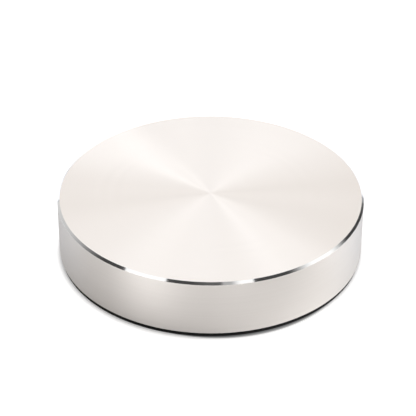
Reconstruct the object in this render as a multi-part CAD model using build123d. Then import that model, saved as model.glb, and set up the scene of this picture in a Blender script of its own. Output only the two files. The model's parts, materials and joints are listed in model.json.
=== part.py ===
"""Record weight: a low turned disc with a rubber pad, dropped over a turntable's spindle to hold a record flat.

Millimetres, +Z up along the spindle, origin at the middle of the pad's underside, where the weight meets the record.
"""

import os
from math import radians, tan

from build123d import *

# Turned aluminium body
body_diameter = 80.0
body_height = 15.4
rim_chamfer = 0.6  # polished 45 degree cut round the top face
base_chamfer = 0.25  # 45 degree edge break round the underside

# Blind spindle bore, drilled up from the underside
bore_diameter = 7.3  # clears a 7.15 mm spindle
bore_lead_in = 0.6  # 45 degree countersink that guides the spindle in
drill_point_angle = 118.0  # whole angle of the cone that the drill leaves
web_over_bore = 2.2  # metal between the drill's point and the top face

# Die-cut rubber pad, glued to the underside
pad_thickness = 1.0
pad_setback = 0.1  # flat of the underside left bare outside the pad
pad_hole_margin = 1.25  # flat of the underside left bare round the bore's lead-in

# Heights and radii that follow from these
base = pad_thickness
top = base + body_height
body_radius = body_diameter / 2
bore_radius = bore_diameter / 2
drill_tip = top - web_over_bore
bore_shoulder = drill_tip - bore_radius / tan(radians(drill_point_angle / 2))
pad_radius = body_radius - base_chamfer - pad_setback
pad_hole_radius = bore_radius + bore_lead_in + pad_hole_margin


def turned(*half_section):
    """Solid of revolution about the spindle axis, from the (radius, height) corners of half its section."""
    outline = Plane.XZ * Polyline(*half_section, close=True)
    return revolve(make_face(outline), Axis.Z)


def blank():
    """The disc as it leaves the lathe, with both edges broken."""
    return turned(
        (0, base),
        (body_radius - base_chamfer, base),
        (body_radius, base + base_chamfer),
        (body_radius, top - rim_chamfer),
        (body_radius - rim_chamfer, top),
        (0, top),
    )


def spindle_bore():
    """What the drill and the countersink take out of the underside."""
    return turned(
        (0, base),
        (bore_radius + bore_lead_in, base),
        (bore_radius, base + bore_lead_in),
        (bore_radius, bore_shoulder),
        (0, drill_tip),
    )


def weight_body():
    return blank() - spindle_bore()


def base_pad():
    """Flat ring that keeps the metal off the record's label."""
    return extrude(Circle(pad_radius) - Circle(pad_hole_radius), pad_thickness)


os.makedirs("parts", exist_ok=True)
export_step(weight_body(), "parts/weight_body.step")
export_step(base_pad(), "parts/base_pad.step")
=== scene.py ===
import json
from math import atan2, hypot, pi, radians, tau

import bpy
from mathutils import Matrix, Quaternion, Vector


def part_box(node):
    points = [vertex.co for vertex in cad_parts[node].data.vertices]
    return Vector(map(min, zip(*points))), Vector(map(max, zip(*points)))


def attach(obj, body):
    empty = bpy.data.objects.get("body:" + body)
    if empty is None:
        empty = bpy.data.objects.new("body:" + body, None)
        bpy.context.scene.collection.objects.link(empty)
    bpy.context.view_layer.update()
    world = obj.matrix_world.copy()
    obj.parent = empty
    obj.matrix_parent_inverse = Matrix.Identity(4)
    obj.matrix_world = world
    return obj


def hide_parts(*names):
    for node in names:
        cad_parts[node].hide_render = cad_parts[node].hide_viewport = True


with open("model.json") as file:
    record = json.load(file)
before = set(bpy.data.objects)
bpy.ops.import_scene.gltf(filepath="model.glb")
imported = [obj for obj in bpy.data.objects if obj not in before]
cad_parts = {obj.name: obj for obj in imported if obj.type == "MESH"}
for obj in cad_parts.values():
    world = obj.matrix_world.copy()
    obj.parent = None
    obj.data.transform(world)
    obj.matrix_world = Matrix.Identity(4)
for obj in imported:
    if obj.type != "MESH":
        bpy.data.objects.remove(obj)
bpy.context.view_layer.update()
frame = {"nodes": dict(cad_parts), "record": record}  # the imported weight, in metres, standing on z = 0
mm = 0.001
print("frame loaded:", ", ".join(sorted(frame["nodes"])))


# Small helpers for node trees

nodeGrid = {  # how the node editor shows the trees
    "columns": 12,
    "across": 180,
    "down": 220,
}


def wire(tree, node, wires):
    # input name or number -> a plain value, or the output socket to link
    for name, value in wires.items():
        if isinstance(value, bpy.types.NodeSocket):
            tree.links.new(value, node.inputs[name])
        else:
            node.inputs[name].default_value = value


def addNode(tree, kind, wires=None, **settings):
    node = tree.nodes.new(kind)
    row, column = divmod(len(tree.nodes), nodeGrid["columns"])
    node.location = (nodeGrid["across"] * column, -nodeGrid["down"] * row)
    for name, value in settings.items():
        setattr(node, name, value)
    wire(tree, node, wires or {})
    return node


def calc(tree, operation, first, second=0.0, third=0.0):
    wires = {0: first, 1: second, 2: third}
    return addNode(tree, "ShaderNodeMath", wires, operation=operation).outputs[0]


def vectorCalc(tree, operation, first, second=(0.0, 0.0, 0.0), scale=1.0):
    wires = {0: first, 1: second, 3: scale}  # input 3 is the scale
    node = addNode(tree, "ShaderNodeVectorMath", wires, operation=operation)
    givesNumber = operation in ("LENGTH", "DISTANCE", "DOT_PRODUCT")
    return node.outputs["Value" if givesNumber else "Vector"]


def axes(tree, vector):
    return addNode(tree, "ShaderNodeSeparateXYZ", {0: vector}).outputs


def offAxis(tree, place):
    # how far a place lies from the spindle axis
    x, y, _ = axes(tree, place)
    return vectorCalc(tree, "LENGTH", addNode(tree, "ShaderNodeCombineXYZ", {"X": x, "Y": y}).outputs[0])


def ramp(tree, value, low, high, toLow=0.0, toHigh=1.0, kind="LINEAR"):
    wires = {"Value": value, "From Min": low, "From Max": high, "To Min": toLow, "To Max": toHigh}
    return addNode(tree, "ShaderNodeMapRange", wires, interpolation_type=kind).outputs[0]


def bell(tree, distance, spread):
    # 1 in the middle, falling off softly over about one spread
    square = calc(tree, "POWER", calc(tree, "DIVIDE", distance, spread), 2.0)
    return calc(tree, "EXPONENT", calc(tree, "MULTIPLY", square, -1.0))


def mixColour(tree, share, first, second):
    wires = {0: share, 6: first, 7: second}  # 6 and 7 are the colours among the Mix node's inputs
    return addNode(tree, "ShaderNodeMix", wires, data_type="RGBA").outputs[2]


# Turned shapes: a half section in Geometry Nodes, swept round the spindle axis

sweep = {
    "radius": 1 * mm,  # of the circle that carries the section: corners give it up, the sweep adds it back
    "roundingSteps": 3,
    "weldDistance": 0.0001 * mm,
    "onAxis": 0.001 * mm,  # what is closer than this lies on the spindle axis
}


def sumOf(tree, words, sockets):
    # "bodyRadius - rimCut" becomes Math nodes on the tree's inputs
    total, sign = None, "ADD"
    for word in words.split():
        if word in "+-":
            sign = "ADD" if word == "+" else "SUBTRACT"
        else:
            term = sockets[word] if word in sockets else float(word)
            total = term if total is None else calc(tree, sign, total, term)
    return total


def sectionCurve(tree, sockets, halfSection, closed):
    # a line with a point for each corner, moved to the corners, made a curve and eased at the edges
    index = addNode(tree, "GeometryNodeInputIndex").outputs[0]
    places = addNode(tree, "GeometryNodeIndexSwitch", {"Index": index}, data_type="VECTOR")
    roundings = addNode(tree, "GeometryNodeIndexSwitch", {"Index": index}, data_type="FLOAT")
    for number, (radius, height, *rounded) in enumerate(halfSection):
        for switch in (places, roundings):
            if number >= len(switch.index_switch_items):
                switch.index_switch_items.new()
        out = calc(tree, "SUBTRACT", sumOf(tree, radius, sockets), sweep["radius"])
        down = calc(tree, "MULTIPLY", sumOf(tree, height, sockets), -1.0)
        corner = addNode(tree, "ShaderNodeCombineXYZ", {"X": out, "Y": down}).outputs[0]
        tree.links.new(corner, places.inputs[number + 1])
        if rounded:
            tree.links.new(sockets[rounded[0]], roundings.inputs[number + 1])
    line = addNode(tree, "GeometryNodeMeshLine", {"Count": len(halfSection)})
    wires = {"Geometry": line.outputs[0], "Position": places.outputs[0]}
    moved = addNode(tree, "GeometryNodeSetPosition", wires)
    curve = addNode(tree, "GeometryNodeMeshToCurve", {"Mesh": moved.outputs[0]})
    wires = {"Geometry": curve.outputs[0], "Cyclic": closed}
    looped = addNode(tree, "GeometryNodeSetSplineCyclic", wires)
    wires = {"Curve": looped.outputs[0], "Radius": roundings.outputs[0], "Count": sweep["roundingSteps"],
             "Limit Radius": True}
    eased = addNode(tree, "GeometryNodeFilletCurve", wires, mode="POLY")
    along = addNode(tree, "GeometryNodeSplineParameter").outputs["Factor"]
    wires = {"Geometry": eased.outputs[0], "Name": "along", "Value": along}
    kept = addNode(tree, "GeometryNodeStoreNamedAttribute", wires, data_type="FLOAT", domain="POINT")
    return kept.outputs[0]


def sweptRound(tree, sockets, section):
    wires = {"Resolution": sockets["segments"], "Radius": sweep["radius"]}
    circle = addNode(tree, "GeometryNodeCurvePrimitiveCircle", wires)
    upright = addNode(tree, "GeometryNodeSetCurveNormal", {"Curve": circle.outputs[0]}, mode="Z_UP")
    wires = {"Curve": upright.outputs[0], "Profile Curve": section}
    swept = addNode(tree, "GeometryNodeCurveToMesh", wires)
    wires = {"Geometry": swept.outputs[0], "Distance": sweep["weldDistance"]}
    welded = addNode(tree, "GeometryNodeMergeByDistance", wires)
    smooth = addNode(tree, "GeometryNodeSetShadeSmooth", {"Geometry": welded.outputs[0]})
    return addNode(tree, "GeometryNodeRealizeInstances", {"Geometry": smooth.outputs[0]}).outputs[0]


def finishedFaces(tree, sockets, geometry, finishes):
    # by how far up a face looks and how far out it lies, each finish over the one before
    up = axes(tree, addNode(tree, "GeometryNodeInputNormal").outputs[0])[2]
    out = offAxis(tree, addNode(tree, "GeometryNodeInputPosition").outputs[0])
    for label, finish in finishes.items():
        here = calc(tree, "GREATER_THAN", up, finish["leastUp"])
        here = calc(tree, "MULTIPLY", here, calc(tree, "LESS_THAN", up, finish["mostUp"]))
        here = calc(tree, "MULTIPLY", here, calc(tree, "GREATER_THAN", out, finish["outside"]))
        wires = {"Geometry": geometry, "Selection": here, "Material": sockets[label]}
        geometry = addNode(tree, "GeometryNodeSetMaterial", wires).outputs[0]
    return geometry


def turnedTree(name, sizes, halfSection, finishes, closed):
    tree = bpy.data.node_groups.new(name, "GeometryNodeTree")
    tree.interface.new_socket("Geometry", in_out="OUTPUT", socket_type="NodeSocketGeometry")
    for label, value in sizes.items():
        kind = "NodeSocketInt" if isinstance(value, int) else "NodeSocketFloat"
        tree.interface.new_socket(label, in_out="INPUT", socket_type=kind)
    for label in finishes:
        tree.interface.new_socket(label, in_out="INPUT", socket_type="NodeSocketMaterial")
    sockets = {socket.name: socket for socket in addNode(tree, "NodeGroupInput").outputs if socket.name}
    section = sectionCurve(tree, sockets, halfSection, closed)
    geometry = finishedFaces(tree, sockets, sweptRound(tree, sockets, section), finishes)
    addNode(tree, "NodeGroupOutput", {0: geometry})
    return tree


def turnedPiece(name, sizes, halfSection, finishes, closed=False):
    tree = turnedTree(name + "Turning", sizes, halfSection, finishes, closed)
    maker = bpy.data.objects.new(name + "Maker", bpy.data.meshes.new(name + "Maker"))
    bpy.context.scene.collection.objects.link(maker)
    modifier = maker.modifiers.new("turning", "NODES")
    modifier.node_group = tree
    for item in tree.interface.items_tree:
        if item.name in finishes:
            modifier[item.identifier] = finishes[item.name]["material"]
        elif item.in_out == "INPUT":
            modifier[item.identifier] = sizes[item.name]
    depsgraph = bpy.context.evaluated_depsgraph_get()
    turned = maker.evaluated_get(depsgraph)
    mesh = bpy.data.meshes.new_from_object(turned, preserve_all_data_layers=True, depsgraph=depsgraph)
    mesh.name = name
    bpy.data.objects.remove(maker)
    polarMap(mesh)
    keepFlats(mesh)
    piece = bpy.data.objects.new(name, mesh)
    bpy.context.scene.collection.objects.link(piece)
    print(f"{name}: {len(mesh.polygons)} faces, {len(mesh.materials)} finishes")
    return piece


def polarMap(mesh):
    # round the axis across, along the section up, so that rings bake as straight lines
    along = [value.value for value in mesh.attributes["along"].data]
    layer = mesh.uv_layers.new(name="OFBake")
    halfTurn = 0.5
    for face in mesh.polygons:
        turns = []
        for vertex in face.vertices:
            x, y, _ = mesh.vertices[vertex].co
            turns.append(None if hypot(x, y) < sweep["onAxis"] else atan2(y, x) / tau % 1.0)
        known = [turn for turn in turns if turn is not None]
        if max(known) - min(known) > halfTurn:  # the face that closes the circle
            turns = [turn if turn is None or turn > halfTurn else turn + 1.0 for turn in turns]
            known = [turn for turn in turns if turn is not None]
        middle = sum(known) / len(known)
        for loop, vertex, turn in zip(face.loop_indices, face.vertices, turns):
            layer.data[loop].uv = (middle if turn is None else turn, along[vertex])
    mesh.attributes.remove(mesh.attributes["along"])


def keepFlats(mesh):
    # corners lean with their largest faces, so that flats look flat and only the rounded edges turn
    leaning = [Vector() for _ in mesh.vertices]
    for face in mesh.polygons:
        weight = (face.area / mm ** 2) ** 2
        for vertex in face.vertices:
            leaning[vertex] += face.normal * weight
    mesh.normals_split_custom_set_from_vertices([total.normalized() for total in leaning])


# Finishes

noiseLow, noiseHigh = 0.25, 0.75  # nearly all of a line noise lies between these
lineDetail = 2.0


def newFinish(name):
    material = bpy.data.materials.new(name)
    material.use_nodes = True
    tree = material.node_tree
    return material, tree, tree.nodes["Principled BSDF"]


def objectPlace(tree):
    return addNode(tree, "ShaderNodeTexCoord").outputs["Object"]


def lineNoise(tree, along, pitch):
    # uneven tool lines, about one pitch apart
    wires = {"W": along, "Scale": 1.0 / pitch, "Detail": lineDetail}
    return addNode(tree, "ShaderNodeTexNoise", wires, noise_dimensions="1D").outputs["Fac"]


def around(value, spread):
    return value - spread, value + spread


def lathed(tree, shader, values, along):
    # grooves round the axis: they spread light across, never along, and dull or darken it a little in bands
    lines = lineNoise(tree, along, values["linePitch"])
    bands = lineNoise(tree, along, values["bandPitch"])
    shades = lineNoise(tree, along, values["shadePitch"])
    wires = {"Height": lines, "Distance": values["lineDepth"], "Strength": 1.0}
    bump = addNode(tree, "ShaderNodeBump", wires).outputs[0]
    least, most = around(values["roughness"], values["roughnessSpread"])
    shade = ramp(tree, shades, noiseLow, noiseHigh, 1.0 - values["shade"], 1.0)
    wire(tree, shader, {
        "Base Color": vectorCalc(tree, "SCALE", values["colour"], scale=shade),
        "Roughness": ramp(tree, bands, noiseLow, noiseHigh, least, most),
        "Normal": bump,
        "Tangent": addNode(tree, "ShaderNodeTangent", direction_type="RADIAL", axis="Z").outputs[0],
        "Metallic": 1.0,
        "Anisotropic": values["anisotropy"],
        "Anisotropic Rotation": 0.25,  # a quarter turn, so that the light spreads across the rings
    })


spunFace = {
    "colour": (0.958, 0.905, 0.862),
    "shade": 0.008,
    "shadePitch": 0.3 * mm,
    "roughness": 0.25,
    "roughnessSpread": 0.006,
    "bandPitch": 1.8 * mm,
    "anisotropy": 1.0,
    "linePitch": 0.16 * mm,
    "lineDepth": 0.0003 * mm,
}


def spunFaceFinish(values):
    material, tree, shader = newFinish("spunFace")
    lathed(tree, shader, values, offAxis(tree, objectPlace(tree)))
    return material


brightRim = {
    "colour": (0.935, 0.925, 0.915),
    "shade": 0.010,
    "shadePitch": 0.10 * mm,
    "roughness": 0.07,
    "roughnessSpread": 0.012,
    "bandPitch": 0.20 * mm,
    "anisotropy": 0.0,
    "linePitch": 0.05 * mm,
    "lineDepth": 0.00005 * mm,
}


def brightRimFinish(values):
    material, tree, shader = newFinish("brightRim")
    height = axes(tree, objectPlace(tree))[2]
    lathed(tree, shader, values, height)
    return material


turnedSide = {
    # darker than the spun top: partly the rougher turned finish, partly painted shade standing in for a
    # dimmer reflection
    "colour": (0.70, 0.672, 0.649),
    "shade": 0.015,
    "shadePitch": 0.45 * mm,
    "roughness": 0.50,
    "roughnessSpread": 0.02,
    "bandPitch": 1.5 * mm,
    "anisotropy": 0.86,
    "linePitch": 0.12 * mm,
    "lineDepth": 0.0005 * mm,
}


def turnedSideFinish(values):
    material, tree, shader = newFinish("turnedSide")
    height = axes(tree, objectPlace(tree))[2]
    lathed(tree, shader, values, height)
    return material


facedBase = {
    "colour": (0.81, 0.80, 0.79),
    "shade": 0.03,
    "shadePitch": 0.30 * mm,
    "roughness": 0.38,
    "roughnessSpread": 0.03,
    "bandPitch": 0.9 * mm,
    "anisotropy": 0.6,
    "linePitch": 0.18 * mm,
    "lineDepth": 0.001 * mm,
}


def facedBaseFinish(values):
    # the same rings across the underside and up the bore
    material, tree, shader = newFinish("facedBase")
    place = objectPlace(tree)
    height = axes(tree, place)[2]
    lathed(tree, shader, values, calc(tree, "ADD", offAxis(tree, place), height))
    return material


padRubber = {
    "colour": (0.0055, 0.0055, 0.006, 1.0),
    "worn": (0.009, 0.009, 0.0095, 1.0),
    "roughness": 0.75,
    "roughnessSpread": 0.06,
    "specular": 0.13,
    "grainPitch": 0.25 * mm,
    "grainDepth": 0.006 * mm,
    "grainDetail": 3.0,
    "grainRange": (0.3, 0.7),  # of the noise, from the smoothest to the roughest
    "cloudPitch": 4.0 * mm,
    "cloudDetail": 2.0,
    "cloudRange": (0.35, 0.65),  # of the noise, from new to worn
}


def padRubberFinish(values):
    material, tree, shader = newFinish("padRubber")
    place = objectPlace(tree)
    wires = {"Vector": place, "Scale": 1.0 / values["grainPitch"], "Detail": values["grainDetail"]}
    grain = addNode(tree, "ShaderNodeTexNoise", wires).outputs["Fac"]
    wires = {"Vector": place, "Scale": 1.0 / values["cloudPitch"], "Detail": values["cloudDetail"]}
    cloud = addNode(tree, "ShaderNodeTexNoise", wires).outputs["Fac"]
    wires = {"Height": grain, "Distance": values["grainDepth"], "Strength": 1.0}
    bump = addNode(tree, "ShaderNodeBump", wires).outputs[0]
    worn = ramp(tree, cloud, *values["cloudRange"])
    least, most = around(values["roughness"], values["roughnessSpread"])
    wire(tree, shader, {
        "Base Color": mixColour(tree, worn, values["colour"], values["worn"]),
        "Roughness": ramp(tree, grain, *values["grainRange"], least, most),
        "Normal": bump,
        "Specular IOR Level": values["specular"],
    })
    return material


# The turned aluminium body

tolerance = 0.01 * mm  # corners this close are at one height or radius


def cornersOf(node):
    # a node's corners as distance from the spindle axis and height
    places = [vertex.co for vertex in frame["nodes"][node].data.vertices]
    return [(hypot(place.x, place.y), place.z) for place in places]


def atHeight(corners, height):
    return [radius for radius, z in corners if abs(z - height) < tolerance]


weightBody = {
    "edgeRounding": 0.04 * mm,
    "segments": 512,
}

bodyLow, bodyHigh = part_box("weight_body")
bodyCorners = cornersOf("weight_body")
boreMount = next(mount for mount in frame["record"]["mounts"] if mount["name"] == "spindle_bore")
boreRadius = boreMount["dims"]["r_mm"] * mm
inBore = [z for radius, z in bodyCorners if radius < boreRadius + tolerance and z < bodyHigh.z - tolerance]
boreSteps = sorted(set(round(z, 6) for z in inBore))  # heights to a thousandth of a millimetre
bodySizes = {
    "bodyRadius": bodyHigh.x,
    "base": bodyLow.z,
    "top": bodyHigh.z,
    "rimCut": bodyHigh.x - max(atHeight(bodyCorners, bodyHigh.z)),
    "baseBreak": bodyHigh.x - max(atHeight(bodyCorners, bodyLow.z)),
    "boreRadius": boreRadius,
    "leadIn": min(atHeight(bodyCorners, bodyLow.z)) - boreRadius,
    "shoulder": boreSteps[-2],  # the drill's point is the highest
    "boreTip": max(inBore),
    "edgeRounding": weightBody["edgeRounding"],
    "segments": weightBody["segments"],
}
print("body, mm:", {name: round(size / mm, 3) for name, size in bodySizes.items() if name != "segments"})
bodySection = [  # radius, height and rounding of each corner
    ("0", "top"),
    ("bodyRadius - rimCut", "top", "edgeRounding"),
    ("bodyRadius", "top - rimCut", "edgeRounding"),
    ("bodyRadius", "base + baseBreak", "edgeRounding"),
    ("bodyRadius - baseBreak", "base", "edgeRounding"),
    ("boreRadius + leadIn", "base", "edgeRounding"),
    ("boreRadius", "base + leadIn", "edgeRounding"),
    ("boreRadius", "shoulder", "edgeRounding"),
    ("0", "boreTip"),
]
wallUp, levelUp = 0.2, 0.995  # a wall looks up less than the first, and a level face more than the second
clearOfBore = 2 * boreRadius
everyFace = {"leastUp": -2.0, "mostUp": 2.0, "outside": -1.0}  # past what any face has
outerWall = {"leastUp": -wallUp, "mostUp": wallUp, "outside": clearOfBore}
rimSlope = {"leastUp": wallUp, "mostUp": levelUp, "outside": clearOfBore}
levelFace = {**everyFace, "leastUp": levelUp}
bodyFinishes = {
    "facedBase": {**everyFace, "material": facedBaseFinish(facedBase)},
    "turnedSide": {**outerWall, "material": turnedSideFinish(turnedSide)},
    "brightRim": {**rimSlope, "material": brightRimFinish(brightRim)},
    "spunFace": {**levelFace, "material": spunFaceFinish(spunFace)},
}
body = turnedPiece("turnedBody", bodySizes, bodySection, bodyFinishes)
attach(body, "root")
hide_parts("weight_body")

# The rubber pad

basePad = {
    "edgeRounding": 0.06 * mm,
    "segments": 512,
}

padLow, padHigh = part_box("base_pad")
padSizes = {
    "padRadius": padHigh.x,
    "holeRadius": min(atHeight(cornersOf("base_pad"), padLow.z)),
    "underside": padLow.z,
    "top": padHigh.z,
    "edgeRounding": basePad["edgeRounding"],
    "segments": basePad["segments"],
}
padSection = [
    ("holeRadius", "top", "edgeRounding"),
    ("padRadius", "top", "edgeRounding"),
    ("padRadius", "underside", "edgeRounding"),
    ("holeRadius", "underside", "edgeRounding"),
]
padFinishes = {"padRubber": {**everyFace, "material": padRubberFinish(padRubber)}}
pad = turnedPiece("basePad", padSizes, padSection, padFinishes, closed=True)
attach(pad, "root")
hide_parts("base_pad")

# The floor

white = (1.0, 1.0, 1.0, 1.0)
floorPlan = {
    "colour": (0.90, 0.90, 0.90),
    "radius": 2000 * mm,
    "holeRadius": padHigh.x - 0.6 * mm,  # under the pad, so that the underside gets light too
    "drop": 0.05 * mm,  # below the pad
    "segments": 96,
    # Each of these rises outwards, from one distance to another round a point. For the camera, "seen" is
    # added white and "shade" the paper's tone, painted dark near the pad, and what they leave dark is a
    # painted contact shadow. For reflections, "mirrored" is added white that fades out near the weight,
    # a painted shade there, and "distant" is painted shade that darkens the floor far off.
    "seen": {"light": 0.62, "from": 38.3 * mm, "to": 41.4 * mm, "round": Vector((-0.3, -0.6, 0)) * mm},
    "shade": {"light": 1.0, "from": 33.6 * mm, "to": 34.6 * mm, "round": Vector((2.1, -6.2, 0)) * mm},
    "mirrored": {"light": 0.45, "from": 40 * mm, "to": 75 * mm, "round": Vector((-18, 12, 0)) * mm},
    "distant": {"light": 0.45, "from": 570 * mm, "to": 670 * mm, "round": Vector((-450, 100, 0)) * mm},
    "paintedPools": [  # painted pools of light and shade on the floor, which the side mirrors
        {"at": Vector((-60, -90, 0)) * mm, "spread": 32 * mm, "light": 4.0},
        {"at": Vector((110, -20, 0)) * mm, "spread": 48 * mm, "light": 1.8},
        {"at": Vector((17, -20, 0)) * mm, "spread": 18 * mm, "light": 1.7},
        {"at": Vector((40, -225, 0)) * mm, "spread": 80 * mm, "light": 3.9},
        {"at": Vector((-100, 0, 0)) * mm, "spread": 40 * mm, "light": 1.0},
        {"at": Vector((-35, 25, 0)) * mm, "spread": 58 * mm, "light": -0.45},
        {"at": Vector((-45, 22, 0)) * mm, "spread": 16 * mm, "light": -0.45},
    ],
    "tintFront": (1.0, 0.99, 0.98, 1.0),  # a painted tint of the floor in reflections, in front and behind
    "tintBehind": (0.95, 0.98, 1.03, 1.0),
    "tintFrom": -30 * mm,
    "tintTo": 10 * mm,
}


def spoke(turn):
    return Quaternion((0, 0, 1), turn) @ Vector((1, 0, 0))


def outwards(tree, place, rise):
    distance = vectorCalc(tree, "DISTANCE", place, rise["round"])
    return ramp(tree, distance, rise["from"], rise["to"], 0.0, rise["light"], "SMOOTHSTEP")


def floorPaper(plan):
    material = bpy.data.materials.new("floorPaper")
    material.use_nodes = True
    tree = material.node_tree
    tree.nodes.clear()
    place = objectPlace(tree)
    path = addNode(tree, "ShaderNodeLightPath").outputs
    seen = path["Is Camera Ray"]
    mirrored = calc(tree, "MAXIMUM", path["Is Glossy Ray"], path["Is Transmission Ray"])
    # painted shade: in reflections the floor is darker far off
    far = calc(tree, "MULTIPLY", mirrored, outwards(tree, place, plan["distant"]))
    # a painted tint: for all but the camera the floor is cooler behind than in front
    behind = ramp(tree, axes(tree, place)[1], plan["tintFrom"], plan["tintTo"])
    tint = mixColour(tree, behind, plan["tintFront"], plan["tintBehind"])
    tint = mixColour(tree, seen, tint, white)

    # the paper, with a painted contact shadow for the camera and the painted shade far off in reflections
    level = calc(tree, "MAXIMUM", outwards(tree, place, plan["shade"]), calc(tree, "SUBTRACT", 1.0, seen))
    level = calc(tree, "SUBTRACT", level, far)
    tone = vectorCalc(tree, "SCALE", vectorCalc(tree, "MULTIPLY", plan["colour"], tint), scale=level)
    paper = addNode(tree, "ShaderNodeBsdfDiffuse", {"Color": tone}).outputs[0]

    # the light that is added: white for the camera; for reflections white that fades out near the weight, a
    # painted shade there, and painted pools of light and shade
    paintedGlow = outwards(tree, place, plan["mirrored"])
    for pool in plan["paintedPools"]:
        soft = bell(tree, vectorCalc(tree, "DISTANCE", place, pool["at"]), pool["spread"])
        paintedGlow = calc(tree, "MULTIPLY_ADD", soft, pool["light"], paintedGlow)
    added = calc(tree, "MULTIPLY", seen, outwards(tree, place, plan["seen"]))
    added = calc(tree, "MULTIPLY_ADD", mirrored, paintedGlow, added)
    added = calc(tree, "MAXIMUM", calc(tree, "SUBTRACT", added, far), 0.0)
    lift = addNode(tree, "ShaderNodeEmission", {"Color": tint, "Strength": added}).outputs[0]
    lit = addNode(tree, "ShaderNodeAddShader", {0: paper, 1: lift}).outputs[0]

    # clear from below
    clear = addNode(tree, "ShaderNodeBsdfTransparent").outputs[0]
    below = addNode(tree, "ShaderNodeNewGeometry").outputs["Backfacing"]
    sides = addNode(tree, "ShaderNodeMixShader", {0: below, 1: lit, 2: clear}).outputs[0]
    addNode(tree, "ShaderNodeOutputMaterial", {"Surface": sides})
    return material


def floorSheet(plan):
    # a flat ring: nothing shows of its hole, which the pad covers
    corners = []
    faces = []
    count = plan["segments"]
    for step in range(count):
        way = spoke(tau * step / count)
        corners += [way * plan["holeRadius"], way * plan["radius"]]
        here, there = 2 * step, 2 * ((step + 1) % count)
        faces.append((here, here + 1, there + 1, there))
    mesh = bpy.data.meshes.new("floor")
    mesh.from_pydata(corners, [], faces)
    mesh.materials.append(floorPaper(plan))
    floor = bpy.data.objects.new("floor", mesh)
    floor.location.z = -plan["drop"]
    bpy.context.scene.collection.objects.link(floor)
    return floor


floor = floorSheet(floorPlan)
print("floor laid, with", len(floorPlan["paintedPools"]), "paintedPools")

# The tent of light round it all

tent = {
    "horizon": (0.70, 0.69, 0.68, 1.0),  # radiance low down, at two heights and overhead
    "middle": (0.85, 0.835, 0.82, 1.0),
    "upper": (0.95, 0.945, 0.94, 1.0),
    "zenith": (0.80, 0.80, 0.80, 1.0),
    "middleHeight": radians(35),
    "upperHeight": radians(60),
    # Soft light and dark panels fan out from the spot behind the weight that its top mirrors to the camera:
    # turn and half width in degrees, and the light that each adds. They fade as the mirroring slope grows.
    "rays": [
        {"turn": 57, "spread": 33, "light": 0.47},
        {"turn": 111, "spread": 10, "light": 0.37},
        {"turn": 137, "spread": 4, "light": 0.76},
        {"turn": 158, "spread": 10, "light": 0.52},
        {"turn": 184, "spread": 4, "light": -0.38},
        {"turn": 230, "spread": 9, "light": 0.30},
        {"turn": 264, "spread": 14, "light": 0.26},
        {"turn": 302, "spread": 4, "light": 0.65},
        {"turn": 320, "spread": 4, "light": 0.51},
        {"turn": 352, "spread": 10, "light": -0.42},
    ],
    "rayFade": 0.35,  # the slope at which little of them is left
    "rayTint": (0.92, 1.0, 1.09),
    # What the polished rim shows is a dark ribbon that starts high in front and comes down at the sides,
    # with lit windows: bearings from the camera and fade of each end in degrees, and light, which adds up.
    "ribbonTop": radians(53.8),
    "ribbonFall": radians(58.9),
    "ribbonReach": radians(146.8),  # where it has come down by that fall
    "ribbonPower": 2.14,
    "ribbonWidth": radians(7),
    "ribbonFade": radians(4),
    "ribbonDark": 0.06,
    "windows": [
        {"from": -170, "to": -135, "fadeIn": 20, "fadeOut": 20, "light": 0.13},
        {"from": -170, "to": -104, "fadeIn": 20, "fadeOut": 38, "light": 0.55},
        {"from": -70.3, "to": -37.8, "fadeIn": 1, "fadeOut": 1, "light": 1.10},
        {"from": -10, "to": 37.6, "fadeIn": 20, "fadeOut": 1, "light": 0.06},
        {"from": 10.6, "to": 37.6, "fadeIn": 3, "fadeOut": 1, "light": 0.33},
        {"from": 22.3, "to": 37.6, "fadeIn": 10, "fadeOut": 1, "light": 0.67},
        {"from": 75.2, "to": 104.5, "fadeIn": 22, "fadeOut": 18, "light": 1.10},
        {"from": 146, "to": 200, "fadeIn": 30, "fadeOut": 1, "light": 0.50},
    ],
}


def tentShade(tree, values, rise):
    overhead = pi / 2
    shades = addNode(tree, "ShaderNodeValToRGB", {0: ramp(tree, rise, 0.0, overhead)})
    stops = shades.color_ramp.elements
    stops[0].color = values["horizon"]
    stops[1].color = values["zenith"]
    for name in ("middle", "upper"):
        stops.new(values[name + "Height"] / overhead).color = values[name]
    return shades.outputs[0]


def fanOfRays(tree, values, way, toCamera):
    # the slope that would mirror this way to the camera: its turn finds the ray, and its size the fade
    x, y, z = axes(tree, vectorCalc(tree, "ADD", way, toCamera))
    wires = {"X": calc(tree, "DIVIDE", x, z), "Y": calc(tree, "DIVIDE", y, z)}
    slope = addNode(tree, "ShaderNodeCombineXYZ", wires).outputs[0]
    side = vectorCalc(tree, "NORMALIZE", slope)
    fan = 0.0
    for ray in values["rays"]:
        near = vectorCalc(tree, "DOT_PRODUCT", side, spoke(radians(ray["turn"])))
        near = calc(tree, "DIVIDE", calc(tree, "SUBTRACT", near, 1.0), radians(ray["spread"]) ** 2)
        fan = calc(tree, "MULTIPLY_ADD", calc(tree, "EXPONENT", near), ray["light"], fan)
    fade = bell(tree, vectorCalc(tree, "LENGTH", slope), values["rayFade"])
    return vectorCalc(tree, "SCALE", values["rayTint"], scale=calc(tree, "MULTIPLY", fan, fade))


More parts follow.
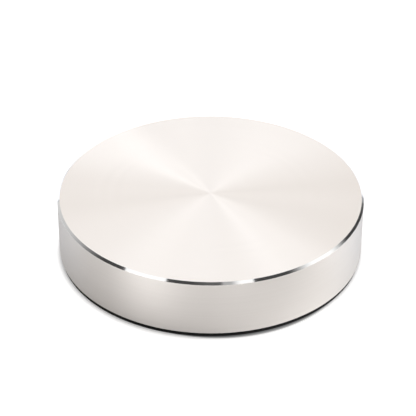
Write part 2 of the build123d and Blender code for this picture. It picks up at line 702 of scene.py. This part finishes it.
def darkRibbon(tree, values, bearing, rise):
    # how far this way lies in the ribbon, and how light the ribbon is there
    reached = calc(tree, "DIVIDE", calc(tree, "ABSOLUTE", bearing), values["ribbonReach"])
    fallen = calc(tree, "POWER", reached, values["ribbonPower"])
    line = calc(tree, "MULTIPLY_ADD", fallen, -values["ribbonFall"], values["ribbonTop"])
    off = calc(tree, "ABSOLUTE", calc(tree, "SUBTRACT", rise, line))
    edge = values["ribbonWidth"]
    inside = ramp(tree, off, edge, edge + values["ribbonFade"], 1.0, 0.0, "SMOOTHSTEP")
    light = values["ribbonDark"]
    for window in values["windows"]:
        start, stop = radians(window["from"]), radians(window["to"])
        fadeIn, fadeOut = radians(window["fadeIn"]) / 2, radians(window["fadeOut"]) / 2
        opens = ramp(tree, bearing, start - fadeIn, start + fadeIn, 0.0, window["light"], "SMOOTHSTEP")
        closes = ramp(tree, bearing, stop - fadeOut, stop + fadeOut, 1.0, 0.0, "SMOOTHSTEP")
        light = calc(tree, "MULTIPLY_ADD", opens, closes, light)
    return inside, light


def tentWorld(values, toCamera):
    world = bpy.data.worlds.new("tent")
    world.use_nodes = True
    tree = world.node_tree
    tree.nodes.clear()
    way = addNode(tree, "ShaderNodeTexCoord").outputs["Generated"]
    x, y, z = axes(tree, way)
    rise = calc(tree, "ARCSINE", z)
    bearing = calc(tree, "ARCTAN2", x, calc(tree, "MULTIPLY", y, -1.0))
    tone = vectorCalc(tree, "ADD", tentShade(tree, values, rise), fanOfRays(tree, values, way, toCamera))
    inRibbon, ribbonLight = darkRibbon(tree, values, bearing, rise)
    tone = mixColour(tree, inRibbon, tone, ribbonLight)
    glow = addNode(tree, "ShaderNodeBackground", {"Color": tone}).outputs[0]
    plain = addNode(tree, "ShaderNodeBackground", {"Color": white}).outputs[0]
    seen = addNode(tree, "ShaderNodeLightPath").outputs["Is Camera Ray"]
    both = addNode(tree, "ShaderNodeMixShader", {0: seen, 1: glow, 2: plain}).outputs[0]
    addNode(tree, "ShaderNodeOutputWorld", {"Surface": both})
    return world


# The camera

view = {
    "elevation": radians(34.894),
    "distance": 455.9 * mm,  # from the middle of the pad's underside
    "aim": Vector((-0.675, 0.0, 11.71)) * mm,
    "roll": radians(0.192),
    "lens": 147.94,  # this and the sensor in millimetres
    "sensor": 36.0,
}

standing = Quaternion((1, 0, 0), -view["elevation"]) @ Vector((0, -view["distance"], 0))
facing = (view["aim"] - standing).to_track_quat("-Z", "Y")
optics = bpy.data.cameras.new("camera")
optics.lens = view["lens"]
optics.sensor_width = view["sensor"]
camera = bpy.data.objects.new("camera", optics)
camera.location = standing
camera.rotation_mode = "QUATERNION"
camera.rotation_quaternion = facing @ Quaternion((0, 0, 1), view["roll"])
bpy.context.scene.collection.objects.link(camera)
bpy.context.scene.camera = camera
bpy.context.scene.world = tentWorld(tent, standing.normalized())
bpy.context.scene.view_settings.view_transform = "Standard"
print("studio ready:", len(tent["rays"]), "rays,", len(tent["windows"]), "windows, one camera")
